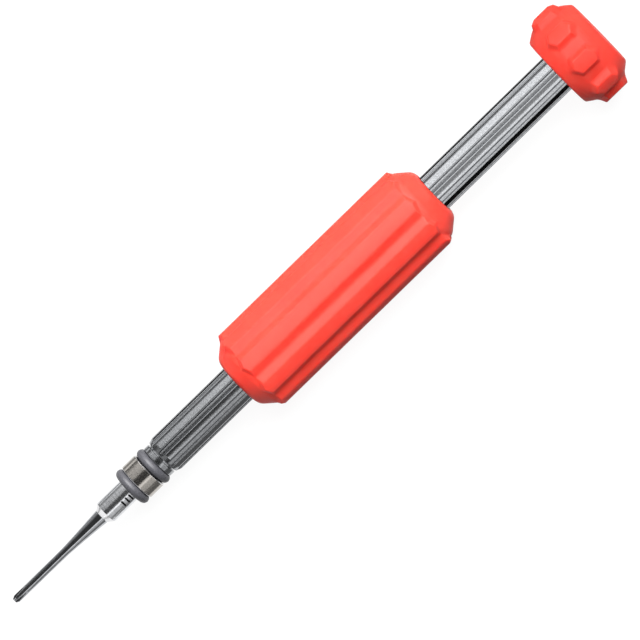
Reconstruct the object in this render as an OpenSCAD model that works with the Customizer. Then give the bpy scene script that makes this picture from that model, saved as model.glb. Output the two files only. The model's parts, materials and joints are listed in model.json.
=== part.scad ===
// Precision screwdriver with a cross tip, a fluted barrel, a soft ribbed grip and a swivel cap.
// The tool lies along X: the tip's end is at the origin and the cap is at +X.
// +Z is up as the driver lies on a bench, on two ribs of the grip and one bump of the cap.

/* [Bit] */
// Diameter across the wings of the cross tip
tip_d = 1.5; // [1.3:0.05:2]
// Diameter of the blunt end of the tip
tip_end_d = 0.9; // [0.5:0.05:1]
// Half angle of the tip's cone, in degrees
tip_half_angle = 26.5; // [20:0.5:35]
// Thickness of one wing of the cross at its end
wing_t = 0.32; // [0.2:0.02:0.44]
// Length of the four flutes between the wings
tip_flute_len = 3; // [2:0.1:5]
// Length of the slender stretch of the blade, from the tip's end
blade_len = 12; // [8:0.5:30]
// Diameter of the blade where its flare begins
blade_d = 1.6; // [1.5:0.05:2.4]
// Length of the flare between the blade and the shoulder
flare_len = 9.8; // [5:0.1:20]
// Diameter of the flare where it meets the shoulder
root_d = 2.9; // [2.5:0.1:4]
// Length of the shoulder cone in front of the collar
shoulder_len = 1.05; // [0.5:0.05:2]
// Length of the collar
collar_len = 5.7; // [3:0.1:12]
// Height of the collar above the stem
collar_step = 0.25; // [0.1:0.05:1]
// Diameter of the stem that holds the rings and sits in the barrel
stem_d = 4; // [3.4:0.1:5]
// Length of the round stem inside the barrel
stem_seat = 6; // [3:0.5:12]
// Length of the six-sided tail behind the stem
tail_len = 10; // [5:0.5:20]

/* [Rings] */
// Thickness of the rubber of each O-ring
ring_section = 1.8; // [1:0.1:2.4]
// Length of the ring magnet
magnet_len = 3.3; // [2:0.1:8]
// Wall of the ring magnet
magnet_wall = 1.7; // [1:0.1:2.4]

/* [Barrel] */
// Diameter over the lands
barrel_d = 7.6; // [7:0.1:9]
// Length of the barrel
barrel_len = 99.65; // [90:0.05:140]
// Number of lands, of ribs on the grip and of bumps on the cap
pattern_n = 9; // [7:1:11]
// Width of one land, as an angle
land_angle = 24; // [16:1:28]
// Depth of the flutes
flute_depth = 0.27; // [0.15:0.01:0.5]
// Length of the turned ring at the nose
nose_len = 1.1; // [0.6:0.1:3]
// Depth of the nose ring below the lands
nose_step = 0.45; // [0.3:0.05:0.8]
// Width of the groove behind the nose ring
neck_w = 0.25; // [0.15:0.05:0.6]
// Depth of that groove below the nose ring
neck_depth = 0.3; // [0.1:0.05:0.4]
// Length of the cone behind the groove
cone_len = 1.1; // [0.8:0.1:4]
// Rise of that cone up to the lands
cone_step = 0.35; // [0.1:0.05:0.6]
// Chamfer at the barrel's rear end
barrel_chamfer = 0.2; // [0.1:0.05:0.5]

/* [Grip] */
// Length of bare barrel in front of the grip
grip_setback = 20.35; // [10:0.05:30]
// Length of the grip sleeve
grip_len = 48.4; // [40:0.1:60]
// Thickness of the sleeve over the lands, between its ribs
grip_wall = 3.85; // [2.5:0.05:6]
// Thickness of the sleeve at its two end faces
grip_end_t = 1.4; // [0.8:0.05:2.4]
// Length of the slope at each end of the sleeve
grip_slope_len = 2.9; // [1.5:0.1:6]
// Height of the ribs
rib_h = 0.85; // [0.4:0.05:1.5]
// Distance of the ribs from the sleeve's front end
rib_inset = 2.7; // [2.4:0.05:8]
// Distance of the ribs from the sleeve's rear end
rib_rear_inset = 3; // [2.4:0.05:8]
// Width of a rib at its foot
rib_w = 4.3; // [2.6:0.1:4.6]
// Run of a rib's sloping flanks
rib_flank = 0.85; // [0.2:0.05:1.2]
// Run of the steeper flanks at a rib's ends
rib_end_flank = 0.4; // [0.2:0.05:0.4]
// Length of the point at each end of a rib
rib_point = 0.9; // [0.4:0.1:2]

/* [Bearing] */
// Bore of the bearing
bearing_bore = 3; // [2.5:0.1:4]
// Height of each bearing ring's section, from its bore or rim to its shoulder
race_h = 0.7; // [0.6:0.05:1]
// Outer diameter of the bearing
bearing_d = 8; // [7.6:0.1:10]
// Width of the bearing
bearing_w = 4; // [3.4:0.1:6]
// Diameter of the balls
ball_d = 1.588; // [1.4:0.001:1.7]
// Number of balls
ball_n = 7; // [5:1:7]
// Thickness of the ball cage, across the axis
cage_t = 0.5; // [0.3:0.05:0.6]
// Wall of the cage beside a ball, along the axis
cage_side = 0.3; // [0.2:0.05:0.4]
// Thickness of the bearing's shields
shield_t = 0.25; // [0.15:0.05:0.3]
// Depth of a shield's outer face below the face of the bearing
shield_inset = 0.15; // [0.1:0.05:0.2]
// Width of the step in the outer ring that carries a shield
shield_seat = 0.22; // [0.1:0.02:0.3]

/* [Swivel] */
// Length of the spacer between the barrel and the bearing
spacer_len = 1.1; // [1:0.1:3]
// Thickness of the washer under the screw's head
washer_t = 0.3; // [0.2:0.05:1]
// Diameter of the screw's thread
thread_d = 2.5; // [2:0.1:2.5]
// Length of the screw's thread in the barrel
thread_len = 8; // [5:0.5:15]
// Depth of the tapped hole beyond the thread
tap_extra = 1; // [0.5:0.5:3]
// Height of the screw's head above its washer
head_h = 1.4; // [1:0.1:2.5]
// Rim of the screw's head beyond its shoulder
head_rim = 0.8; // [0.5:0.05:1]
// Width of a slot of the cross recess in the screw's head
recess_w = 0.5; // [0.3:0.05:0.8]
// Length of such a slot
recess_len = 2.6; // [1.5:0.1:3]
// Depth of the recess
recess_depth = 0.7; // [0.4:0.05:0.9]
// Thickness of the circlip
circlip_t = 0.4; // [0.3:0.05:0.8]
// Width of the circlip, across the axis
circlip_w = 0.8; // [0.6:0.05:1]
// Depth of the circlip in its groove
circlip_bite = 0.3; // [0.2:0.05:0.5]
// Gap between the circlip's two ends, as an angle
circlip_gap = 50; // [20:5:90]

/* [Cap] */
// Wall of the core round the bearing
core_wall = 2.2; // [1.5:0.1:4]
// Wall of the core in front of the circlip
core_lip = 0.4; // [0.3:0.05:1]
// Width of the ledge behind the bearing
core_ledge = 0.8; // [0.5:0.05:1]
// Height of the core's flange that keeps the cover on
flange_h = 0.8; // [0.4:0.05:1.2]
// Width of that flange
flange_w = 2.6; // [1.5:0.1:4]
// Thickness of the plug behind the screw
plug_t = 1.1; // [0.6:0.1:2]
// Step in the core that the plug sits on
plug_seat = 0.4; // [0.2:0.05:0.8]
// Wall of the soft cover over the flange
cover_wall = 1.8; // [1.2:0.1:3]
// Thickness of the cover's front lip
cover_lip = 0.8; // [0.6:0.1:2]
// Thickness of the cover's rear wall
cover_back = 1.6; // [1:0.1:3]
// Length of the cover's front slope
front_slope_len = 2.5; // [1.5:0.1:3.5]
// Fall of that slope towards the front edge
front_slope_fall = 1.7; // [0.8:0.1:1.8]
// Length of the cover's rear slope
rear_slope_len = 2.4; // [1.5:0.1:3.5]
// Fall of that slope towards the rear edge
rear_slope_fall = 2; // [0.8:0.1:2.2]
// Height of the bumps on the cover
bump_h = 1.05; // [0.5:0.05:1.5]
// Length of a bump at its foot, from point to point
bump_len = 5.8; // [4:0.1:6.2]
// Width of a bump at its foot
bump_w = 3.7; // [2.5:0.1:4]
// Run of a bump's sloping flanks
bump_flank = 0.4; // [0.1:0.02:0.5]
// Length of the point at each end of a bump
bump_point = 0.95; // [0.4:0.05:1.5]

/* [Fits] */
// Clearance of a pressed, screwed or stretched fit
press_fit = 0.01; // [0.005:0.005:0.03]
// Clearance of the soft sleeve and cover on what they grip
soft_fit = 0.03; // [0.01:0.01:0.1]
// Clearance between a ball and its races
ball_play = 0.02; // [0.01:0.01:0.04]
// Clearance between a ball and its pocket in the cage
pocket_play = 0.06; // [0.03:0.01:0.1]
// Gap between a shield and the inner ring
shield_gap = 0.1; // [0.05:0.05:0.2]
// Gap between pieces that turn past each other
turn_gap = 0.3; // [0.2:0.05:0.5]

/* [Hidden] */
$fn = 96;
// A hexagon's corners lie on a circle this much larger than the circle inside it
hex_ratio = 1 / cos(30);
// Cutters run past the faces that they cut by this much
over = 1;
// Steps in the curve of the flare, and how hollow the curve is
flare_steps = 10;
flare_hollow = 1.3;
// Angle from one land, rib or bump to the next
pitch_angle = 360 / pattern_n;

// Places along the axis, from the tip to the cap
flare_x = blade_len;
shoulder_x = flare_x + flare_len;
collar_x = shoulder_x + shoulder_len;
stem_x = collar_x + collar_len;
ring_room = ring_section + 2 * soft_fit;
magnet_x = stem_x + ring_room;
barrel_x = magnet_x + magnet_len + ring_room;
barrel_end = barrel_x + barrel_len;
grip_x = barrel_x + grip_setback;
bearing_x = barrel_end + spacer_len;
bearing_end = bearing_x + bearing_w;
head_x = bearing_end + washer_t;
core_x = bearing_x - circlip_t - core_lip;
plug_x = head_x + head_h + turn_gap;
core_end = plug_x + plug_t;
cap_x = core_x - cover_lip;
cap_end = core_end + cover_back;
cap_len = cap_end - cap_x;
flange_x = (core_x + core_end - flange_w) / 2;
bump_x = (cap_x + front_slope_len + cap_end - rear_slope_len) / 2;

// Radii of the bit, the rings and the barrel
stem_r = stem_d / 2;
collar_r = stem_r + collar_step;
ring_r = stem_r + soft_fit + ring_section / 2;
magnet_r = stem_r + magnet_wall;
land_r = barrel_d / 2;
nose_r = land_r - nose_step;
neck_r = nose_r - neck_depth;
cone_r = land_r - cone_step;
tip_cone_len = (tip_d - tip_end_d) / 2 / tan(tip_half_angle);
web_r = wing_t / sqrt(2);
tip_flute_tilt = atan((tip_d / 2 - web_r) / tip_flute_len);

// Radii of the grip
valley_r = land_r + grip_wall;
rib_r = valley_r + rib_h;
grip_end_r = land_r + grip_end_t;

// Radii of the bearing, the swivel and the cap
shoulder_r = bearing_bore / 2;
inner_race_r = shoulder_r + race_h;
outer_r = bearing_d / 2;
outer_race_r = outer_r - race_h;
pitch_r = (shoulder_r + outer_r) / 2;
groove_r = ball_d / 2 + ball_play;
shield_r = outer_race_r + shield_seat;
shield_depth = shield_inset + shield_t;
head_r = shoulder_r + head_rim;
washer_r = inner_race_r - press_fit;
clip_r = outer_r + circlip_bite;
ledge_r = outer_r - core_ledge;
plug_r = ledge_r + plug_seat;
core_r = outer_r + core_wall;
flange_r = core_r + flange_h;
cap_r = flange_r + cover_wall;
bump_r = cap_r + bump_h;
mouth_r = land_r + turn_gap;

// Lays a shape that was made along Z, from its own start, on the tool's axis at x
module along_axis(x) {
    translate([x, 0, 0]) rotate([0, 90, 0]) children();
}

// Round bar or hole along Z between two places
module bar(r, from, to) {
    translate([0, 0, from]) cylinder(r = r, h = to - from);
}

// Flat ring along Z, of a given length
module ring(inner, outer, length) {
    difference() {
        cylinder(r = outer, h = length);
        bar(inner, -over, length + over);
    }
}

// Cross section of the fluted bar, grown by a clearance
module fluted_section(grow) {
    half = land_angle / 2 + atan(grow / land_r);
    reach = 2 * (land_r + grow);
    circle(r = land_r - flute_depth + grow);
    intersection() {
        circle(r = land_r + grow);
        for (i = [0 : pattern_n - 1])
            rotate(i * pitch_angle)
                polygon([[0, 0], reach * [cos(half), -sin(half)], reach * [cos(half), sin(half)]]);
    }
}

// Outline of half the blade and stem, as radius and place
function flare_point(t) = [
    (blade_d + (root_d - blade_d) * pow(t, flare_hollow)) / 2,
    flare_x + t * flare_len
];

module bit_profile() {
    flare = [for (i = [0 : flare_steps]) flare_point(i / flare_steps)];
    polygon(concat(
        [[0, 0], [tip_end_d / 2, 0], [tip_d / 2, tip_cone_len]],
        flare,
        [
            [collar_r, collar_x],
            [collar_r, stem_x],
            [stem_r, stem_x],
            [stem_r, barrel_x + stem_seat],
            [0, barrel_x + stem_seat]
        ]
    ));
}

// One flute of the cross tip: a square groove that runs out along the blade
module tip_flute() {
    translate([web_r, 0, 0])
        rotate([0, tip_flute_tilt, 0])
            translate([0, 0, -over])
                linear_extrude(tip_flute_len + 2 * over)
                    rotate(-45) square(tip_d);
}

module driver_bit() {
    color([0.74, 0.75, 0.77]) along_axis(0) {
        difference() {
            rotate_extrude() bit_profile();
            for (i = [0 : 3])
                rotate(45 + i * 90) tip_flute();
        }
        translate([0, 0, barrel_x + stem_seat])
            cylinder(r = stem_r, h = tail_len, $fn = 6);
    }
}

module o_ring() {
    color([0.42, 0.43, 0.46])
        rotate_extrude() translate([ring_r, 0]) circle(d = ring_section);
}

module front_o_ring() {
    along_axis(stem_x + ring_room / 2) o_ring();
}

module magnet_ring() {
    color([0.72, 0.7, 0.66])
        along_axis(magnet_x) ring(stem_r + press_fit, magnet_r, magnet_len);
}

module rear_o_ring() {
    along_axis(barrel_x - ring_room / 2) o_ring();
}

// Turned outline of the barrel: nose ring, groove, cone and the chamfer at the end
module barrel_profile() {
    groove_end = nose_len + neck_w;
    polygon([
        [0, 0],
        [nose_r, 0],
        [nose_r, nose_len],
        [neck_r, nose_len],
        [neck_r, groove_end],
        [cone_r, groove_end],
        [land_r, groove_end + cone_len],
        [land_r, barrel_len - barrel_chamfer],
        [land_r - barrel_chamfer, barrel_len],
        [0, barrel_len]
    ]);
}

module barrel() {
    color([0.45, 0.46, 0.48]) along_axis(barrel_x) difference() {
        intersection() {
            linear_extrude(barrel_len) fluted_section(0);
            rotate_extrude() barrel_profile();
        }
        bar(stem_r + press_fit, -over, stem_seat + press_fit);
        translate([0, 0, stem_seat])
            cylinder(r = stem_r + press_fit * hex_ratio, h = tail_len + press_fit, $fn = 6);
        bar(thread_d / 2 + press_fit, barrel_len - thread_len - tap_extra, barrel_len + over);
    }
}

// Outline of a long hexagon along Z and Y, drawn in by one margin at its sides and another at its ends
function hexagon(length, width, point, margin, end_margin) =
    let (
        slant = atan2(width / 2, point),
        half_len = length / 2 - end_margin / sin(slant),
        half_w = width / 2 - margin,
        side = half_len - half_w / tan(slant)
    )
    [[0, -half_len], [-half_w, -side], [-half_w, side], [0, half_len], [half_w, side], [half_w, -side]];

// Long hexagon with sloping flanks that stands out of a round body on +X, its length along Z.
// Its sizes are those on the body's surface, and it is sunk as deep as it is high.
module raised_hexagon(body_r, height, length, width, flank, end_flank, point) {
    top = height + over;
    rise = top / height;
    root_outline = hexagon(length, width, point, -flank, -end_flank);
    top_outline = hexagon(length, width, point, flank * rise, end_flank * rise);
    root_points = [for (p = root_outline) [body_r - height, p[0], p[1]]];
    top_points = [for (p = top_outline) [body_r + top, p[0], p[1]]];
    root_face = [5, 4, 3, 2, 1, 0];
    top_face = [6, 7, 8, 9, 10, 11];
    flanks = [for (i = [0 : 5]) [i, (i + 1) % 6, (i + 1) % 6 + 6, i + 6]];
    polyhedron(points = concat(root_points, top_points), faces = concat([root_face, top_face], flanks));
}

module grip_sleeve() {
    rib_len = grip_len - rib_inset - rib_rear_inset;
    color([0.95, 0.33, 0.27]) along_axis(grip_x) difference() {
        union() {
            rotate_extrude() polygon([
                [0, 0],
                [grip_end_r, 0],
                [valley_r, grip_slope_len],
                [valley_r, grip_len - grip_slope_len],
                [grip_end_r, grip_len],
                [0, grip_len]
            ]);
            intersection() {
                bar(rib_r, 0, grip_len);
                for (i = [0 : pattern_n - 1])
                    rotate((i + 0.5) * pitch_angle) translate([0, 0, rib_inset + rib_len / 2])
                        raised_hexagon(valley_r, rib_h, rib_len, rib_w, rib_flank, rib_end_flank, rib_point);
            }
        }
        translate([0, 0, -over])
            linear_extrude(grip_len + 2 * over) fluted_section(soft_fit);
    }
}

module bearing_spacer() {
    color([0.7, 0.7, 0.72])
        along_axis(barrel_end) ring(shoulder_r + press_fit, washer_r, spacer_len);
}

module spindle_screw() {
    color([0.62, 0.63, 0.65]) along_axis(barrel_end) {
        shank_len = head_x - barrel_end;
        bar(thread_d / 2, -thread_len, over / 2);
        difference() {
            union() {
                bar(shoulder_r - press_fit, 0, shank_len + head_h / 2);
                bar(head_r, shank_len, shank_len + head_h);
            }
            for (turn = [0, 90])
                rotate(turn)
                    translate([-recess_len / 2, -recess_w / 2, shank_len + head_h - recess_depth])
                        cube([recess_len, recess_w, recess_depth + over]);
        }
    }
}

module head_washer() {
    color([0.7, 0.7, 0.72])
        along_axis(bearing_end) ring(shoulder_r + press_fit, washer_r, washer_t);
}

// The groove that the balls run in, in the middle of the bearing
module ball_groove() {
    translate([pitch_r, bearing_w / 2]) circle(r = groove_r);
}

module bearing_inner_ring() {
    color([0.8, 0.8, 0.82]) along_axis(bearing_x) rotate_extrude() difference() {
        translate([shoulder_r, 0]) square([race_h, bearing_w]);
        ball_groove();
    }
}

// Places something at each ball of the bearing
module at_balls() {
    for (i = [0 : ball_n - 1])
        rotate(i * 360 / ball_n) translate([pitch_r, 0, bearing_w / 2]) children();
}

module bearing_balls() {
    color([0.86, 0.87, 0.88]) along_axis(bearing_x) at_balls() sphere(d = ball_d);
}

module ball_cage() {
    cage_len = ball_d + 2 * (pocket_play + cage_side);
    color([0.75, 0.6, 0.32]) along_axis(bearing_x) difference() {
        translate([0, 0, (bearing_w - cage_len) / 2])
            ring(pitch_r - cage_t / 2, pitch_r + cage_t / 2, cage_len);
        at_balls()
            rotate([0, 90, 0]) cylinder(r = ball_d / 2 + pocket_play, h = 2 * cage_t, center = true);
    }
}

module bearing_outer_ring() {
    color([0.8, 0.8, 0.82]) along_axis(bearing_x) rotate_extrude() difference() {
        translate([outer_race_r, 0]) square([race_h, bearing_w]);
        ball_groove();
        translate([0, -over]) square([shield_r, over + shield_depth]);
        translate([0, bearing_w - shield_depth]) square([shield_r, over + shield_depth]);
    }
}

module shield() {
    color([0.66, 0.67, 0.7])
        ring(inner_race_r + shield_gap, shield_r - press_fit, shield_t);
}

module front_shield() {
    along_axis(bearing_x + shield_inset) shield();
}

module rear_shield() {
    along_axis(bearing_end - shield_depth) shield();
}

module circlip() {
    color([0.3, 0.31, 0.33]) along_axis(bearing_x - circlip_t)
        rotate(circlip_gap / 2)
            rotate_extrude(angle = 360 - circlip_gap)
                translate([clip_r - press_fit - circlip_w, 0]) square([circlip_w, circlip_t]);
}

// Outside of the cap's core, along Z from its front face, grown by a clearance
module core_outside(grow) {
    core_len = core_end - core_x;
    flange_start = flange_x - core_x;
    bar(core_r + grow, -grow, core_len + grow);
    bar(flange_r + grow, flange_start - grow, flange_start + flange_w + grow);
}

module cap_core() {
    clip_start = core_lip;
    seat_end = bearing_end - core_x;
    color([0.2, 0.2, 0.22]) along_axis(core_x) difference() {
        core_outside(0);
        bar(outer_r + press_fit, -over, seat_end);
        bar(clip_r, clip_start, clip_start + circlip_t);
        bar(ledge_r, seat_end - over, core_end - core_x + over);
        bar(plug_r, plug_x - core_x, core_end - core_x + over);
    }
}

module core_plug() {
    color([0.24, 0.24, 0.26])
        along_axis(plug_x) cylinder(r = plug_r - press_fit, h = plug_t);
}

module cover_outside() {
    rotate_extrude() polygon([
        [0, 0],
        [cap_r - front_slope_fall, 0],
        [cap_r, front_slope_len],
        [cap_r, cap_len - rear_slope_len],
        [cap_r - rear_slope_fall, cap_len],
        [0, cap_len]
    ]);
    intersection() {
        bar(bump_r, 0, cap_len);
        for (i = [0 : pattern_n - 1])
            rotate((i + 0.5) * pitch_angle) translate([0, 0, bump_x - cap_x])
                raised_hexagon(cap_r, bump_h, bump_len, bump_w, bump_flank, bump_flank, bump_point);
    }
}

module cap_cover() {
    color([0.95, 0.33, 0.27]) along_axis(cap_x) difference() {
        rotate(pitch_angle / 2) cover_outside();
        translate([0, 0, core_x - cap_x]) core_outside(soft_fit);
        bar(mouth_r, -over, core_x - cap_x + over / 2);
    }
}

driver_bit();
front_o_ring();
magnet_ring();
rear_o_ring();
barrel();
grip_sleeve();
bearing_spacer();
spindle_screw();
head_washer();
bearing_inner_ring();
bearing_balls();
ball_cage();
bearing_outer_ring();
front_shield();
rear_shield();
circlip();
cap_core();
core_plug();
cap_cover();
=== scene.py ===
import json
import math
import bpy
import numpy as np
from mathutils import Matrix, Vector


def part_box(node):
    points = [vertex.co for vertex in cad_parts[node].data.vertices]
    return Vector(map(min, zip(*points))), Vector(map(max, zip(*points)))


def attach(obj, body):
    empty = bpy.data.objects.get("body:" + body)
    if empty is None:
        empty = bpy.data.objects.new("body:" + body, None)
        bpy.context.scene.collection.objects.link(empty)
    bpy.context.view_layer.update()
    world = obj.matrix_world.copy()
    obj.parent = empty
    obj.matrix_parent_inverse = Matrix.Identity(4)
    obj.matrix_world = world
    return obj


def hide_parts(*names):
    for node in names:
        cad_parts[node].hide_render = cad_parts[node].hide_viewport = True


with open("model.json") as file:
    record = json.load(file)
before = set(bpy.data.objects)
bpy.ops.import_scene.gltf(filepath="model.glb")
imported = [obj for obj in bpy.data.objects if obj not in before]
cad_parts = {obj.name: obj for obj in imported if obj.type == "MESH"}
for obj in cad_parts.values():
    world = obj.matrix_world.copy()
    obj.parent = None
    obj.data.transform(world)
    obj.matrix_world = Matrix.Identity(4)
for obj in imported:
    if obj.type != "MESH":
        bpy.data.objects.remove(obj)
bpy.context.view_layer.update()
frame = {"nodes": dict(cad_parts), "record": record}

mm = 0.001
tiny = 1e-6                    # a size that counts as nothing
seam = 0.02                    # mm, slack where one zone of a piece meets the next
patternCount = 9               # lands, ribs and bumps round the tool
pitch = 360 / patternCount
scene = bpy.context.scene
print("frame loaded, nodes:", len(frame["nodes"]))


# Places along the axis and radii, in mm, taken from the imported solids
def startOf(node):
    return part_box(node)[0].x / mm


def endOf(node):
    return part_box(node)[1].x / mm


def topOf(node):
    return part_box(node)[1].z / mm


def lowOf(node):
    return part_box(node)[0].z / mm


# Camera: the tool runs up to the right, seen from above and a little from the cap's side
cameraView = {
    "tiltDeg": 4.6,       # leans towards the cap
    "rollDeg": 9.0,       # leans round the tool's axis
    "slantDeg": 44.2,     # angle of the axis in the picture
    "aimAlong": 74.09,    # mm along the axis at the middle of the picture
    "aimAcross": -2.05,   # mm across it
    "distance": 1.2,      # m
    "lens": 380.85,
    "sensor": 36.0,
    "clip": (0.05, 100),  # m
}


def turned(degrees):
    return math.cos(math.radians(degrees)), math.sin(math.radians(degrees))


rollCos, rollSin = turned(cameraView["rollDeg"])
axisWay = Vector((1, 0, 0))
overWay = Vector((0, -rollSin, rollCos))   # away from the floor, square to the axis
leftWay = Vector((0, rollCos, rollSin))    # towards the upper left of the picture


def makeCamera():
    tiltCos, tiltSin = turned(cameraView["tiltDeg"])
    slantCos, slantSin = turned(cameraView["slantDeg"])
    backWay = tiltSin * axisWay + tiltCos * overWay
    alongWay = tiltCos * axisWay - tiltSin * overWay
    rightWay = slantCos * alongWay - slantSin * leftWay
    upWay = slantSin * alongWay + slantCos * leftWay
    aim = axisWay * cameraView["aimAlong"] * mm + leftWay * cameraView["aimAcross"] * mm
    data = bpy.data.cameras.new("camera")
    data.lens = cameraView["lens"]
    data.sensor_width = cameraView["sensor"]
    data.clip_start, data.clip_end = cameraView["clip"]
    camera = bpy.data.objects.new("camera", data)
    scene.collection.objects.link(camera)
    turn = Matrix((rightWay, upWay, backWay)).transposed().to_4x4()
    camera.matrix_world = Matrix.Translation(aim + backWay * cameraView["distance"]) @ turn
    scene.camera = camera


makeCamera()
print("camera set")


# Mesh tools: a piece is rings of points round the axis, one ring for each point of its outline
def roundedPath(corners, arcSteps=5, guard=0.02):
    # a corner is (place, radius, bend), and a bend of 0 leaves it sharp
    spots = [np.array(c[:2], float) for c in corners]
    path = [spots[0]]
    for i in range(1, len(corners) - 1):
        here, bend = spots[i], corners[i][2]
        if bend == 0:
            path.append(here)
            continue
        back = (spots[i - 1] - here) / np.linalg.norm(spots[i - 1] - here)
        ahead = (spots[i + 1] - here) / np.linalg.norm(spots[i + 1] - here)
        half = math.acos(max(-1, min(1, float(back @ ahead)))) / 2
        reach = bend / math.tan(half)
        inward = (back + ahead) / np.linalg.norm(back + ahead)
        centre = here + inward * bend / math.sin(half)
        first = here + back * reach - centre
        last = here + ahead * reach - centre
        start = math.atan2(first[1], first[0])
        swing = (math.atan2(last[1], last[0]) - start + math.pi) % (2 * math.pi) - math.pi
        path.append(here + back * (reach + guard))
        for k in range(arcSteps + 1):
            angle = start + swing * k / arcSteps
            path.append(centre + bend * np.array([math.cos(angle), math.sin(angle)]))
        path.append(here + ahead * (reach + guard))
    path.append(spots[-1])
    return np.array(path)


def splitRuns(path, step, zones, above=0):
    # long runs of the outline inside a zone, and above a radius, get more rings
    out = [path[0]]
    for a, b in zip(path[:-1], path[1:]):
        middle = (a + b) / 2
        pieces = 1
        if middle[1] > above and any(low <= middle[0] <= high for low, high in zones):
            pieces = max(1, math.ceil(np.linalg.norm(b - a) / step))
        for k in range(1, pieces + 1):
            out.append(a + (b - a) * k / pieces)
    return np.array(out)


def softMin(a, b, blend):
    near = np.clip(blend - np.abs(a - b), 0, None) / blend
    return np.minimum(a, b) - near * near * blend / 4


def softMax(a, b, blend):
    return -softMin(-a, -b, blend)


def ringMesh(name, places, radii, angles, loop=False):
    # angles run from straight down towards +Y; a ring of radius 0 becomes one point
    turns = np.radians(angles)
    across, up = np.sin(turns), -np.cos(turns)
    points, rings = [], []
    for along, radius in zip(places, radii):
        radius = np.broadcast_to(radius, turns.shape)
        if radius.max() < tiny:
            rings.append([len(points)] * len(turns))
            points.append((along * mm, 0, 0))
            continue
        rings.append(list(range(len(points), len(points) + len(turns))))
        ring = np.stack([np.full(turns.shape, along), radius * across, radius * up], 1) * mm
        points.extend(map(tuple, ring))
    faces, cells = [], []
    count = len(rings) if loop else len(rings) - 1
    for i in range(count):
        near, far = rings[i], rings[(i + 1) % len(rings)]
        for j in range(len(turns)):
            k = (j + 1) % len(turns)
            corners = [near[j], near[k], far[k], far[j]]
            faces.append([c for n, c in enumerate(corners) if c != corners[n - 1]])
            cells.append((i, j))
    mesh = bpy.data.meshes.new(name)
    mesh.from_pydata(points, [], faces)
    mesh.polygons.foreach_set("use_smooth", [True] * len(faces))
    mesh.update()
    piece = bpy.data.objects.new(name, mesh)
    scene.collection.objects.link(piece)
    return piece, np.array(cells)


# metal pieces, soft pieces and the cap's cover are lit apart, as a studio does with flags
lightGroups = {name: bpy.data.collections.new(name + "Pieces") for name in ("metal", "soft", "cap")}
softSlots = {"red_silicone", "grey_rubber", "black_plastic"}


def joinLightGroup(piece, node, slotName):
    group = "soft" if slotName in softSlots else "metal"
    lightGroups["cap" if node == "cap_cover" else group].objects.link(piece)


def place(piece, node, body, slotName, *finishes):
    for finish in finishes:
        piece.data.materials.append(finish)
    joinLightGroup(piece, node, slotName)
    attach(piece, body)
    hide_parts(node)
    print("made", piece.name, "with", len(piece.data.polygons), "faces")


def evenTurns(count):
    return np.arange(count) * 360 / count


def repeatTurns(half):
    # half a pitch of angles, mirrored and carried round the tool
    whole = np.concatenate([-half[:0:-1], half[:-1]])
    return np.concatenate([whole + i * pitch for i in range(patternCount)])


# Material tools
def newFinish(name, values):
    finish = bpy.data.materials.new(name)
    finish.use_nodes = True
    shader = finish.node_tree.nodes["Principled BSDF"]
    for socket, value in values.items():
        shader.inputs[socket].default_value = value
    return finish, finish.node_tree, shader


def addNode(tree, kind, values=None):
    node = tree.nodes.new(kind)
    for socket, value in (values or {}).items():
        node.inputs[socket].default_value = value
    return node


def specks(tree, size, detail, stretch=(1, 1, 1)):
    # noise in the piece's own coordinates: size is one speck in mm, stretch makes it longer
    coords = addNode(tree, "ShaderNodeTexCoord")
    scale = [1 / (size * mm * s) for s in stretch]
    mapping = addNode(tree, "ShaderNodeMapping", {"Scale": scale})
    noise = addNode(tree, "ShaderNodeTexNoise", {"Scale": 1.0, "Detail": detail})
    tree.links.new(coords.outputs["Object"], mapping.inputs["Vector"])
    tree.links.new(mapping.outputs["Vector"], noise.inputs["Vector"])
    return noise.outputs["Fac"]


noiseSpan = (0.3, 0.7)   # most of the noise lies between these


def tint(tree, shader, fac, dark, light, spots=noiseSpan):
    ramp = addNode(tree, "ShaderNodeValToRGB")
    for mark, spot, colour in zip(ramp.color_ramp.elements, spots, (dark, light)):
        mark.position = spot
        mark.color = (*colour, 1)
    tree.links.new(fac, ramp.inputs["Fac"])
    tree.links.new(ramp.outputs["Color"], shader.inputs["Base Color"])


def vary(tree, shader, socket, fac, low, high):
    span = addNode(tree, "ShaderNodeMapRange", {
        "From Min": noiseSpan[0],
        "From Max": noiseSpan[1],
        "To Min": low,
        "To Max": high,
    })
    tree.links.new(fac, span.inputs["Value"])
    tree.links.new(span.outputs["Result"], shader.inputs[socket])


def addBump(tree, shader, fac, depth):
    bump = addNode(tree, "ShaderNodeBump", {"Strength": 1.0, "Distance": depth * mm})
    tree.links.new(fac, bump.inputs["Height"])
    tree.links.new(bump.outputs["Normal"], shader.inputs["Normal"])


# Finishes
siliconeLook = {
    "deep": (0.70, 0.044, 0.028),
    "full": (0.76, 0.051, 0.033),
    "cloudSize": 6.0,
    "cloudDetail": 4,
    "grainSize": 0.14,
    "grainDetail": 2,
    "grainDepth": 0.004,
    "rough": (0.52, 0.64),
    "gloss": 0.22,
    "glowThrough": 0.8,   # share of light that spreads inside
    "spread": (3.0, 0.3, 0.2),   # mm, red goes furthest
}


def makeSilicone():
    look = siliconeLook
    finish, tree, shader = newFinish("redSilicone", {
        "Specular IOR Level": look["gloss"],
        "Subsurface Weight": look["glowThrough"],
        "Subsurface Radius": look["spread"],
        "Subsurface Scale": mm,
    })
    clouds = specks(tree, look["cloudSize"], look["cloudDetail"])
    grain = specks(tree, look["grainSize"], look["grainDetail"])
    tint(tree, shader, clouds, look["deep"], look["full"])
    vary(tree, shader, "Roughness", grain, *look["rough"])
    addBump(tree, shader, grain, look["grainDepth"])
    return finish


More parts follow.
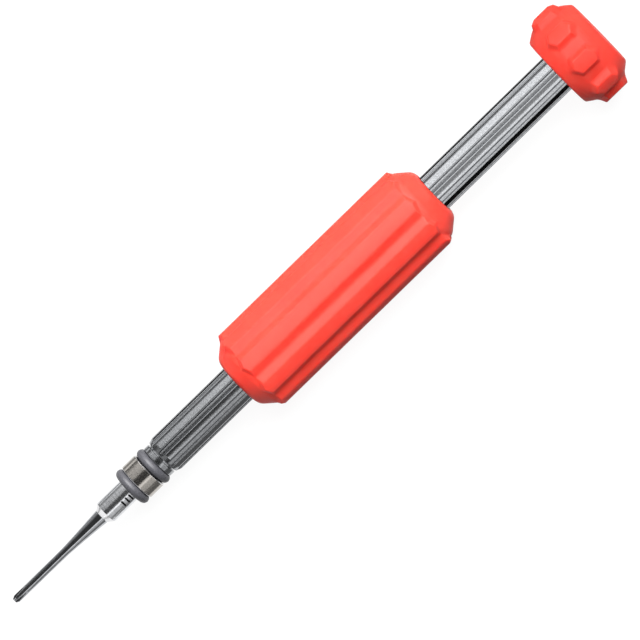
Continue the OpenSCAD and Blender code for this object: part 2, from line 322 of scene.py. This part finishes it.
# speckled finishes: blasted barrel, plated magnet, rubber rings and moulded core
grainLooks = {
    "greyAnodised": {
        "metallic": 1.0,
        "dark": (0.24, 0.245, 0.255),
        "light": (0.42, 0.43, 0.445),
        "spots": (0.35, 0.65),   # parts of the noise that are all dark and all light
        "speckSize": 0.17,
        "speckDepth": 0.006,
        "detail": 4,
        "wearSize": 0.0765,
        "wearDetail": 2,
        "rough": (0.10, 0.18),
    },
    "nickelPlate": {
        "metallic": 1.0,
        "dark": (0.36, 0.34, 0.315),
        "light": (0.54, 0.51, 0.475),
        "spots": (0.35, 0.6),
        "speckSize": 0.12,
        "speckDepth": 0.0014,
        "detail": 3,
        "wearSize": 0.12,
        "wearDetail": 3,
        "rough": (0.08, 0.22),
    },
    "greyRubber": {
        "metallic": 0.0,
        "dark": (0.058, 0.058, 0.066),
        "light": (0.078, 0.078, 0.088),
        "spots": noiseSpan,
        "speckSize": 0.3,
        "speckDepth": 0.004,
        "detail": 3,
        "wearSize": 0.3,
        "wearDetail": 3,
        "rough": (0.42, 0.58),
    },
    "blackPlastic": {
        "metallic": 0.0,
        "dark": (0.008, 0.008, 0.009),
        "light": (0.018, 0.018, 0.02),
        "spots": noiseSpan,
        "speckSize": 0.2,
        "speckDepth": 0.008,
        "detail": 3,
        "wearSize": 0.2,
        "wearDetail": 3,
        "rough": (0.45, 0.62),
    },
}


def makeGrained(name):
    look = grainLooks[name]
    finish, tree, shader = newFinish(name, {"Metallic": look["metallic"]})
    grain = specks(tree, look["speckSize"], look["detail"])
    wear = specks(tree, look["wearSize"], look["wearDetail"])
    tint(tree, shader, grain, look["dark"], look["light"], look["spots"])
    vary(tree, shader, "Roughness", wear, *look["rough"])
    addBump(tree, shader, grain, look["speckDepth"])
    return finish


# turned metals: fine lines round the axis, and clouds of colour
lineStretch = (1, 60, 60)
lineDetail = 3
cloudGrowth = 12         # a cloud is this much larger than a line
turnedLooks = {
    "polishedSteel": {
        "dark": (0.40, 0.41, 0.43),
        "light": (0.52, 0.53, 0.55),
        "lineSize": 0.10,
        "lineDepth": 0.0003,
        "rough": (0.07, 0.12),
    },
    # bright steel made whiter than the steel beside it: a painted highlight, standing in for the white
    # glints on the bit's shoulder and the magnet's chamfers
    "paintedGlintSteel": {
        "dark": (0.68, 0.68, 0.69),
        "light": (0.78, 0.78, 0.79),
        "lineSize": 0.08,
        "lineDepth": 0.0005,
        "rough": (0.16, 0.24),
    },
    "satinSteel": {
        "dark": (0.62, 0.63, 0.65),
        "light": (0.76, 0.77, 0.79),
        "lineSize": 0.08,
        "lineDepth": 0.001,
        "rough": (0.13, 0.21),
    },
    "etchedMark": {
        "dark": (0.008, 0.008, 0.009),
        "light": (0.02, 0.02, 0.022),
        "lineSize": 0.08,
        "lineDepth": 0.002,
        "rough": (0.45, 0.60),
    },
    "brightSteel": {
        "dark": (0.42, 0.43, 0.44),
        "light": (0.60, 0.61, 0.62),
        "lineSize": 0.12,
        "lineDepth": 0.003,
        "rough": (0.18, 0.30),
    },
    "groundSteel": {
        "dark": (0.55, 0.56, 0.58),
        "light": (0.72, 0.73, 0.75),
        "lineSize": 0.06,
        "lineDepth": 0.001,
        "rough": (0.08, 0.18),
    },
    "cageBrass": {
        "dark": (0.50, 0.34, 0.12),
        "light": (0.68, 0.48, 0.19),
        "lineSize": 0.15,
        "lineDepth": 0.003,
        "rough": (0.22, 0.36),
    },
    "blackenedSteel": {
        "dark": (0.035, 0.035, 0.04),
        "light": (0.09, 0.09, 0.10),
        "lineSize": 0.15,
        "lineDepth": 0.004,
        "rough": (0.30, 0.45),
    },
}


def makeTurned(name):
    look = turnedLooks[name]
    finish, tree, shader = newFinish(name, {"Metallic": 1.0})
    lines = specks(tree, look["lineSize"], lineDetail, lineStretch)
    clouds = specks(tree, look["lineSize"] * cloudGrowth, lineDetail)
    tint(tree, shader, clouds, look["dark"], look["light"])
    vary(tree, shader, "Roughness", lines, *look["rough"])
    addBump(tree, shader, lines, look["lineDepth"])
    return finish


redSilicone = makeSilicone()
grained = {name: makeGrained(name) for name in grainLooks}
turnedMetals = {name: makeTurned(name) for name in turnedLooks}
print("finishes made")

# Bit: cross tip, slender blade, flare, shoulder, collar, stem and six-sided tail
bitShape = {
    "tipEnd": 0.45,       # radius of the blunt end
    "tip": 0.75,
    "tipCone": 0.60,      # length of the cone at the tip
    "blade": 0.80,
    "flareStart": 12.0,
    "flareEnd": 21.8,
    "flareRoot": 1.45,
    "flareHollow": 1.3,
    "collarStart": 22.85,
    "collar": 2.25,
    "stem": 2.0,
    "stemSeat": 6.0,      # length of the round stem in the barrel
    "wing": 0.32,         # thickness of one wing of the cross
    "fluteRun": 3.0,      # length of the four flutes
    "crossBlend": 0.14,   # how far the wings' edges are worn round
    "ringGap": 0.03,      # between the collar and the front rubber ring
    "tipBend": 0.08,      # bends, from the tip to the tail
    "coneBend": 0.3,
    "rootBend": 0.25,
    "collarBend": 0.12,
    "seatBend": 0.1,
    "tailBend": 0.15,
    "tipStep": 0.04,      # spacing of the rings of points
    "bladeStep": 0.5,
    "collarStep": 0.12,
    "tipMargin": 0.4,     # of the finer rings, past the flutes
    "collarMargin": 0.2,  # of the finer rings, inside the collar's ends
    "flareSteps": 25,
    "turns": 216,
}


def makeBit():
    shape = bitShape
    tailEnd = endOf("driver_bit")
    collarEnd = startOf("front_o_ring") - shape["ringGap"]
    seatEnd = startOf("barrel") + shape["stemSeat"]
    flare = []
    for t in np.linspace(0, 1, shape["flareSteps"]):
        rise = (shape["flareRoot"] - shape["blade"]) * t ** shape["flareHollow"]
        along = shape["flareStart"] + t * (shape["flareEnd"] - shape["flareStart"])
        flare.append((along, shape["blade"] + rise, 0))
    corners = [
        (0, 0, 0),
        (0, shape["tipEnd"], shape["tipBend"]),
        (shape["tipCone"], shape["tip"], shape["coneBend"]),
        *flare[:-1],
        (*flare[-1][:2], shape["rootBend"]),
        (shape["collarStart"], shape["collar"], shape["collarBend"]),
        (collarEnd, shape["collar"], shape["seatBend"]),
        (collarEnd, shape["stem"], 0),
        (seatEnd, shape["stem"], 0),
        (tailEnd, shape["stem"], shape["tailBend"]),
        (tailEnd, 0, 0),
    ]
    path = roundedPath(corners)
    path = splitRuns(path, shape["tipStep"], [(0, shape["fluteRun"] + shape["tipMargin"])])
    path = splitRuns(path, shape["bladeStep"], [(shape["fluteRun"], shape["flareEnd"])])
    margin = shape["collarMargin"]
    collarRun = (shape["collarStart"] + margin, collarEnd - margin)
    path = splitRuns(path, shape["collarStep"], [collarRun])
    angles = evenTurns(shape["turns"])
    radii = np.repeat(path[:, 1:], len(angles), 1)
    # four flutes leave a cross whose web grows back to the full blade
    quarter = np.radians((angles + 45) % 90 - 45)
    web = shape["wing"] / math.sqrt(2)
    share = np.clip(path[:, :1] / shape["fluteRun"], 0, 1)
    grown = (shape["tip"] - web) * share
    offset = np.abs(quarter)[None, :]
    wingSide = shape["wing"] / 2 + grown / math.sqrt(2)
    cross = wingSide / np.maximum(np.sin(offset), tiny)
    fluted = path[:, :1] < shape["fluteRun"]
    radii = np.where(fluted, softMin(radii, cross, shape["crossBlend"]), radii)
    # the tail is six-sided, inside the barrel
    sixth = np.radians((angles + 30) % 60 - 30)
    hexagon = shape["stem"] * math.cos(math.radians(30)) / np.cos(sixth)
    radii = np.where(path[:, :1] > seatEnd + tiny, np.minimum(radii, hexagon[None, :]), radii)
    radii = np.where(path[:, 1:] < tiny, 0, radii)
    piece, cells = ringMesh("drivingBit", path[:, 0], radii, angles)
    return piece, cells, path, angles


# plain etched ticks on the collar, beside the front ring
tickShape = {"first": 26.2, "spacing": 0.9, "width": 0.35, "count": 3, "turn": (202.0, 238.0)}


def finishBit(piece, cells, path, angles):
    collarStart = bitShape["collarStart"]
    middles = (path[cells[:, 0], 0] + path[cells[:, 0] + 1, 0]) / 2
    zone = (middles > bitShape["flareEnd"] + seam).astype(int) + (middles > collarStart - seam)
    turn = angles[cells[:, 1]]
    facing = (turn >= tickShape["turn"][0]) & (turn <= tickShape["turn"][1])
    for i in range(tickShape["count"]):
        low = tickShape["first"] + i * tickShape["spacing"]
        zone[facing & (middles > low) & (middles < low + tickShape["width"])] = 3
    piece.data.polygons.foreach_set("material_index", zone.astype(np.int32))
    # zone 1, the shoulder, is bright steel with extra whiteness that is a painted highlight
    place(piece, "driver_bit", "handle", "tool_steel", turnedMetals["polishedSteel"],
          turnedMetals["paintedGlintSteel"], turnedMetals["satinSteel"], turnedMetals["etchedMark"])


finishBit(*makeBit())

# O-rings: round rubber with a fine parting ridge
oRingShape = {"section": 0.9, "ridge": 0.02, "ridgeHalf": 8.0, "turns": 160, "steps": 48}


def makeORing(name, node):
    shape = oRingShape
    middle = (startOf(node) + endOf(node)) / 2
    centre = topOf(node) - shape["section"]
    spin = np.arange(shape["steps"]) * 360 / shape["steps"]
    bead = np.clip(1 - np.abs((spin - 90 + 180) % 360 - 180) / shape["ridgeHalf"], 0, 1)
    section = shape["section"] - shape["ridge"] * (1 - bead)
    places = middle - section * np.cos(np.radians(spin))
    radii = centre + section * np.sin(np.radians(spin))
    piece, _ = ringMesh(name, places, radii[:, None], evenTurns(shape["turns"]), loop=True)
    place(piece, node, "handle", "grey_rubber", grained["greyRubber"])


makeORing("frontRubberRing", "front_o_ring")
makeORing("rearRubberRing", "rear_o_ring")

# Ring magnet: plated, and its chamfers at both ends get a whiter steel colour, a painted highlight
magnetShape = {"bore": 2.02, "chamfer": 0.12, "edge": 0.12, "paintedGlintEdge": (0.06, 0.01), "turns": 192}


def makeMagnet():
    shape = magnetShape
    start, end = startOf("magnet_ring"), endOf("magnet_ring")
    outer, cut = topOf("magnet_ring"), shape["chamfer"]
    middle = (start + end) / 2
    path = roundedPath([
        (middle, shape["bore"], 0),
        (start, shape["bore"], shape["edge"]),
        (start, outer - cut, shape["edge"]),
        (start + cut, outer, shape["edge"]),
        (end - cut, outer, shape["edge"]),
        (end, outer - cut, shape["edge"]),
        (end, shape["bore"], shape["edge"]),
        (middle, shape["bore"], 0),
    ], arcSteps=3)[:-1]
    piece, cells = ringMesh("ringMagnet", path[:, 0], path[:, 1:], evenTurns(shape["turns"]), loop=True)
    heights = (path[:, 1] + np.roll(path[:, 1], -1)) / 2
    # the faces on the chamfers take the whiter steel: a painted highlight
    below, above = shape["paintedGlintEdge"]
    paintedGlintFaces = (heights > outer - cut - below) & (heights < outer - above)
    piece.data.polygons.foreach_set("material_index", paintedGlintFaces[cells[:, 0]].astype(np.int32))
    place(piece, "magnet_ring", "handle", "nickel_plate",
          grained["nickelPlate"], turnedMetals["paintedGlintSteel"])


makeMagnet()

# Barrel: nine lands and flutes, a turned nose ring, a groove and a cone
barrelShape = {
    "landHalf": 10.9,     # degrees, to the top of a flute's wall
    "wallTurn": 2.2,      # degrees that the wall takes up
    "fluteDepth": 0.27,
    "groove": 0.14,       # depth of the fine groove at the foot of each wall
    "grooveRun": 0.13,
    "landEdge": 0.24,
    "edge": 0.02,         # softened edges of the groove
    "noseLength": 1.1,
    "noseStep": 0.45,
    "neckWidth": 0.35,
    "neckDepth": 0.4,
    "coneLength": 1.0,
    "coneStep": 0.35,
    "coneBend": 0.6,
    "coneRing": 0.12,     # spacing of the rings of points on the cone
    "noseBend": 0.15,
    "neckEdge": 0.08,
    "neckBend": 0.05,
    "endChamfer": 0.2,
    "endBend": 0.05,
    "mouthBend": 0.1,
    "stemBore": 2.01,
    "stemSeat": 6.0,
    "screwBore": 1.26,
    "screwDepth": 9.0,
}


def flutedTurns(land):
    # angle and radius of the section's points, over half a pitch
    shape = barrelShape
    floor = land - shape["fluteDepth"]
    perDegree = math.radians(land)
    wallTop = shape["landHalf"] * perDegree
    wallFoot = wallTop + shape["wallTurn"] * perDegree
    outline = [
        (0, land, 0),
        (wallTop, land, shape["landEdge"]),
        (wallFoot, floor - shape["groove"], shape["edge"]),
        (wallFoot + shape["grooveRun"], floor, shape["edge"]),
        (pitch / 2 * perDegree, floor, 0),
    ]
    return roundedPath(outline, arcSteps=4) / [perDegree, 1]


def makeBarrel():
    shape = barrelShape
    start, end, land = startOf("barrel"), endOf("barrel"), -lowOf("barrel")
    half = flutedTurns(land)
    angles = repeatTurns(half[:, 0])
    oneTurn = np.concatenate([half[:0:-1, 1], half[:-1, 1]])
    section = np.tile(oneTurn, patternCount)
    nose = land - shape["noseStep"]
    neck = nose - shape["neckDepth"]
    grooveStart = start + shape["noseLength"]
    grooveEnd = grooveStart + shape["neckWidth"]
    coneEnd = grooveEnd + shape["coneLength"]
    seat, screwSeat = start + shape["stemSeat"], end - shape["screwDepth"]
    path = roundedPath([
        (seat, 0, 0),
        (seat, shape["stemBore"], 0),
        (start, shape["stemBore"], shape["mouthBend"]),
        (start, nose, shape["noseBend"]),
        (grooveStart, nose, shape["neckEdge"]),
        (grooveStart, neck, shape["neckBend"]),
        (grooveEnd, neck, shape["neckBend"]),
        (grooveEnd, land - shape["coneStep"], shape["neckEdge"]),
        (coneEnd, land, shape["coneBend"]),
        (end - shape["endChamfer"], land, shape["endBend"]),
        (end, land - shape["endChamfer"], shape["endBend"]),
        (end, shape["screwBore"], shape["endBend"]),
        (screwSeat, shape["screwBore"], 0),
        (screwSeat, 0, 0),
    ], arcSteps=4)
    path = splitRuns(path, shape["coneRing"], [(grooveEnd, coneEnd + shape["coneBend"])])
    fluted = path[:, :1] > grooveEnd - seam
    radii = np.where(fluted, np.minimum(path[:, 1:], section[None, :]), path[:, 1:])
    piece, _ = ringMesh("flutedBarrel", path[:, 0], radii, angles)
    place(piece, "barrel", "handle", "grey_anodised", grained["greyAnodised"])


makeBarrel()


# Soft raised forms: long six-sided ribs and short bumps, radius over place and angle
def raisedForm(places, angles, shape, middle, length):
    off = np.radians((angles - shape["first"] + pitch / 2) % pitch - pitch / 2)
    side, over = np.abs(np.sin(off))[None, :], np.cos(off)[None, :]
    along = np.abs(places - middle)[:, None]
    foot, rise = shape["body"], shape["top"] - shape["body"]
    lean, endLean = shape["flank"] / rise, shape["endFlank"] / rise
    halfLength, halfWidth, point = length / 2, shape["width"] / 2, shape["point"]
    slant = math.hypot(halfWidth, point)
    flankSide = (halfWidth + lean * foot) / (side + lean * over)
    reach = halfWidth * (halfLength - along) / slant
    flankEnd = (reach + endLean * foot) / (point * side / slant + endLean * over)
    flanks = softMin(flankSide, flankEnd, shape["soft"])
    return softMin(flanks, np.full_like(flanks, shape["top"]), shape["soft"])


# half a pitch of angles, closer together over the flanks
flankTurns = (7, 17)
softTurns = repeatTurns(np.concatenate([
    np.linspace(0, flankTurns[0], 4)[:-1],
    np.linspace(*flankTurns, 17)[:-1],
    np.linspace(flankTurns[1], pitch / 2, 4),
]))

gripShape = {
    "first": pitch / 2,
    "body": 7.65,         # radius in the valleys
    "top": 8.5,
    "frontInset": 2.7,    # from the sleeve's ends to a rib's points
    "rearInset": 3.0,
    "width": 4.3,
    "flank": 0.85,
    "endFlank": 0.45,
    "point": 0.9,
    "soft": 0.2,          # how far edges blend
    "boreGap": 0.03,
    "endFace": 5.2,
    "slope": 2.9,
    "lip": 0.35,
    "endBend": 2.0,
    "bend": 2.0,
    "denseEnds": 7.5,
    "step": 0.14,
    "foot": 0.3,
}


def makeGrip():
    shape = gripShape
    start, end = startOf("grip_sleeve"), endOf("grip_sleeve")
    bore = -lowOf("barrel") + shape["boreGap"]
    middle, outside = (start + end) / 2, bore + shape["lip"]
    frontRun, rearRun = start + shape["denseEnds"], end - shape["denseEnds"]
    path = roundedPath([
        (middle, bore, 0),
        (start, bore, shape["lip"]),
        (start, shape["endFace"], shape["endBend"]),
        (start + shape["slope"], shape["body"], shape["bend"]),
        (frontRun, shape["body"], 0),
        (rearRun, shape["body"], 0),
        (end - shape["slope"], shape["body"], shape["bend"]),
        (end, shape["endFace"], shape["endBend"]),
        (end, bore, shape["lip"]),
        (middle, bore, 0),
    ])[:-1]
    path = splitRuns(path, shape["step"], [(start, frontRun), (rearRun, end)], outside)
    radii = np.repeat(path[:, 1:], len(softTurns), 1)
    ribStart, ribEnd = start + shape["frontInset"], end - shape["rearInset"]
    ribs = raisedForm(path[:, 0], softTurns, shape, (ribStart + ribEnd) / 2, ribEnd - ribStart)
    radii = np.where(path[:, 1:] > outside, softMax(radii, ribs, shape["foot"]), radii)
    piece, _ = ringMesh("ribbedGrip", path[:, 0], radii, softTurns, loop=True)
    place(piece, "grip_sleeve", "handle", "red_silicone", redSilicone)


makeGrip()

capShape = {
    "first": 0.0,
    "body": 8.8,
    "top": 9.85,
    "length": 6.1,
    "width": 3.7,
    "flank": 0.42,
    "endFlank": 0.42,
    "point": 1.15,
    "soft": 0.28,
    "foot": 0.6,
    "frontSlope": 2.5,
    "frontEdge": 7.1,
    "bumpLow": 6.1,       # radius from which bumps are laid on
    "rearSlope": 2.4,
    "rearEdge": 6.8,
    "bend": 4.5,
    "frontBend": 0.7,
    "rearBend": 0.8,
    "mouthBend": 0.25,
    "mouth": 4.1,
    "lipWall": 0.8,
    "backWall": 1.6,
    "coreWall": 6.23,
    "flangeWall": 7.03,
    "flangeHalf": 1.33,
    "step": 0.13,         # spacing of the rings of points
    "faceStep": 0.6,
    "margin": 0.1,        # of the finer rings, from the end faces
}
mouthPoints = 3          # points of the outer path that are inside the mouth


def makeCap():
    shape = capShape
    start, end = startOf("cap_cover"), endOf("cap_cover")
    coreStart, coreEnd = start + shape["lipWall"], end - shape["backWall"]
    flangeMiddle = (coreStart + coreEnd) / 2
    bumpMiddle = (start + shape["frontSlope"] + end - shape["rearSlope"]) / 2
    outer = roundedPath([
        (coreStart, shape["mouth"], 0),
        (start, shape["mouth"], shape["mouthBend"]),
        (start, shape["frontEdge"], shape["frontBend"]),
        (start + shape["frontSlope"], shape["body"], shape["bend"]),
        (end - shape["rearSlope"], shape["body"], shape["bend"]),
        (end, shape["rearEdge"], shape["rearBend"]),
        (end, 0, 0),
    ])
    margin, near = shape["margin"], shape["margin"] / 2
    outer = splitRuns(outer, shape["step"], [(start + margin, end - margin)])
    outer = splitRuns(outer, shape["faceStep"], [(end - near, end + near), (start - near, start + near)])
    low, high = flangeMiddle - shape["flangeHalf"], flangeMiddle + shape["flangeHalf"]
    inner = np.array([
        (coreEnd, 0),
        (coreEnd, shape["coreWall"]),
        (high, shape["coreWall"]),
        (high, shape["flangeWall"]),
        (low, shape["flangeWall"]),
        (low, shape["coreWall"]),
        (coreStart, shape["coreWall"]),
    ])
    path = np.concatenate([inner, outer])
    radii = np.repeat(path[:, 1:], len(softTurns), 1)
    bumps = raisedForm(path[:, 0], softTurns, shape, bumpMiddle, shape["length"])
    outside = (np.arange(len(path)) > len(inner) + mouthPoints)[:, None]
    outside = outside & (path[:, 1:] > shape["bumpLow"])
    radii = np.where(outside, softMax(radii, bumps, shape["foot"]), radii)
    piece, _ = ringMesh("swivelCapCover", path[:, 0], radii, softTurns)
    place(piece, "cap_cover", "swivel_cap", "red_silicone", redSilicone)


makeCap()

# Inner pieces keep their solids and get a finish
innerFinishes = {
    "bright_steel": turnedMetals["brightSteel"],
    "bearing_steel": turnedMetals["groundSteel"],
    "cage_brass": turnedMetals["cageBrass"],
    "spring_steel": turnedMetals["blackenedSteel"],
    "black_plastic": grained["blackPlastic"],
}
for part in frame["record"]["subparts"]:
    inner = frame["nodes"][part["node"]]
    if part["material_slot"] in innerFinishes and not inner.hide_render:
        inner.data.materials.clear()
        inner.data.materials.append(innerFinishes[part["material_slot"]])
        joinLightGroup(inner, part["node"], part["material_slot"])
print("inner pieces finished")

# Floor: the driver lies on two ribs and one bump, so the floor leans a little
floorLook = {
    "size": 30.0,         # m
    "colour": (0.06, 0.06, 0.06, 1),
    "glow": 0.94,
    "rough": 0.8,
    "gloss": 0.2,
    "ribContact": 59.1,   # mm along the axis
    "bumpContact": 138.0,
}
ribFoot, bumpFoot = lowOf("grip_sleeve"), lowOf("cap_cover")
floorSlope = (bumpFoot - ribFoot) / (floorLook["bumpContact"] - floorLook["ribContact"])


def floorAt(along):
    return ribFoot + floorSlope * (along - floorLook["ribContact"])


def makeFloor():
    look = floorLook
    half = look["size"] / 2
    mesh = bpy.data.meshes.new("floor")
    corners = [(-half, -half, 0), (half, -half, 0), (half, half, 0), (-half, half, 0)]
    mesh.from_pydata(corners, [], [(0, 1, 2, 3)])
    floor = bpy.data.objects.new("floor", mesh)
    scene.collection.objects.link(floor)
    floor.location = (0, 0, floorAt(0) * mm)
    floor.rotation_euler = (0, -math.atan(floorSlope), 0)
    finish, _, _ = newFinish("paleFloor", {
        "Base Color": look["colour"],
        "Roughness": look["rough"],
        "Specular IOR Level": look["gloss"],
        "Emission Color": (1, 1, 1, 1),
        "Emission Strength": look["glow"],
    })
    floor.data.materials.append(finish)
    lightGroups["soft"].objects.link(floor)


makeFloor()

# Softboxes lie along the tool, in mm. Their turn is in degrees round its axis: 0 is over it, and
# below 0 is to the upper left. The strips light the metal pieces, the two keys the soft ones.
softboxes = {
    "leftWide": {"turn": (-90, -16), "along": (-36, 420), "glow": 0.55, "on": "metal"},
    "leftCore": {"turn": (-80, -21), "along": (-36, 420), "glow": 0.75, "on": "metal"},
    "leftRear": {"turn": (-88, -20), "along": (34, 420), "glow": 0.8, "on": "metal"},
    "leftFront": {"turn": (-112, -56), "along": (-420, -36), "glow": 0.16, "on": "metal"},
    "noseTop": {"turn": (-90, 60), "along": (-760, -330), "glow": 0.35, "on": "metal"},
    "overRear": {"turn": (-18, 26), "along": (34, 420), "glow": 0.55, "on": "metal"},
    "rimFront": {"turn": (21, 38), "along": (-330, -30), "glow": 1.05, "on": "metal"},
    "rimRear": {"turn": (25, 32), "along": (20, 420), "glow": 1.0, "on": "metal"},
    "rightWide": {"turn": (26, 76), "along": (-40, 420), "glow": 0.75, "on": "metal"},
    "rightRear": {"turn": (26, 73), "along": (34, 420), "glow": 0.75, "on": "metal"},
    "rightFront": {"turn": (26, 92), "along": (-330, -40), "glow": 0.35, "on": "metal"},
    "gripKey": {"turn": (-54, -2), "along": (60, 600), "glow": 16.2, "on": "soft"},
    "capKey": {"turn": (-46, 2), "along": (60, 600), "glow": 11.4, "on": "cap"},
}
boxDistance = 0.6        # m, from the axis


def aroundAxis(angle):
    cosine, sine = turned(angle)
    return cosine * overWay - sine * leftWay


def addAreaLight(name, width, length, glow, facing, where, group):
    # glow is the brightness of the box's face, whatever its size
    data = bpy.data.lights.new(name, "AREA")
    data.shape = "RECTANGLE"
    data.size = width
    data.size_y = length
    data.energy = glow * math.pi * width * length
    light = bpy.data.objects.new(name, data)
    scene.collection.objects.link(light)
    light.matrix_world = Matrix.Translation(where) @ Matrix(facing).transposed().to_4x4()
    light.visible_camera = False
    light.light_linking.receiver_collection = lightGroups[group]


def makeSoftbox(name, box):
    low, high = box["turn"]
    near, far = box["along"]
    away = aroundAxis((low + high) / 2)
    width = 2 * boxDistance * math.tan(math.radians(high - low) / 2)
    length = (far - near) * mm
    facing = (axisWay.cross(away), axisWay, away)
    where = axisWay * ((near + far) / 2 * mm) + away * boxDistance
    addAreaLight(name, width, length, box["glow"], facing, where, box["on"])


for name, box in softboxes.items():
    makeSoftbox(name, box)

# low box in front of the tip: it whitens the shoulder. Along is in mm, its sizes are in m.
frontBox = {"along": -300, "width": 0.5, "height": 0.16, "glow": 1.1}


def makeFrontBox():
    box = frontBox
    middle = floorAt(box["along"]) * mm + box["height"] / 2
    facing = (Vector((0, 1, 0)), Vector((0, 0, -1)), -axisWay)
    where = Vector((box["along"] * mm, 0, middle))
    addAreaLight("frontBox", box["width"], box["height"], box["glow"], facing, where, "metal")


makeFrontBox()

# Cards on the floor, seen only by reflections, or only by soft light where they are soft.
# Across is mm from the axis, minus to the upper left, and stand is the height of the far edge.
cardLift = 0.15          # mm over the floor
cards = {
    "rightCard": {"along": (58, 170), "across": (14, 120), "stand": 25, "glow": 0.0},
    "rightNearCard": {"along": (21, 58), "across": (14, 120), "stand": 25, "glow": 0.18},
    "rightShade": {"along": (44, 160), "across": (9, 110), "stand": 0, "glow": 0.08, "soft": True},
    "leftCard": {"along": (35, 170), "across": (-42, -15), "stand": 0, "glow": 0.0},
    "leftNearCard": {"along": (21, 35), "across": (-42, -15), "stand": 0, "glow": 0.4},
    "rightFrontCard": {"along": (-120, 20), "across": (20, 160), "stand": 30, "glow": 0.22},
    "leftFrontCard": {"along": (-120, 20), "across": (-110, -24), "stand": 0, "glow": 0.22},
    "rearCard": {"along": (152, 420), "across": (-160, 160), "stand": 0, "glow": 0.0},
}


def makeCard(name, card):
    low, high = card["across"]
    points = []
    for across, rise in [(low, cardLift), (high, cardLift), (high, card["stand"])]:
        for along in card["along"]:
            points.append((along * mm, -across * mm, (floorAt(along) + rise) * mm))
    faces = [(0, 1, 3, 2)]
    if card["stand"]:
        faces.append((2, 3, 5, 4))
    mesh = bpy.data.meshes.new(name)
    mesh.from_pydata(points, [], faces)
    flag = bpy.data.objects.new(name, mesh)
    scene.collection.objects.link(flag)
    finish, _, _ = newFinish(name, {
        "Base Color": (0.01, 0.01, 0.01, 1),
        "Roughness": 0.9,
        "Emission Color": (1, 1, 1, 1),
        "Emission Strength": card["glow"],
    })
    mesh.materials.append(finish)
    flag.visible_camera = False
    flag.visible_diffuse = "soft" in card
    flag.visible_glossy = "soft" not in card
    flag.visible_shadow = False


for name, card in cards.items():
    makeCard(name, card)

worldLook = {"colour": (1, 1, 1, 1), "strength": 0.06}
world = bpy.data.worlds.new("studio")
scene.world = world
world.use_nodes = True
background = world.node_tree.nodes["Background"]
background.inputs["Color"].default_value = worldLook["colour"]
background.inputs["Strength"].default_value = worldLook["strength"]
scene.view_settings.view_transform = "Standard"
print("floor and light set")
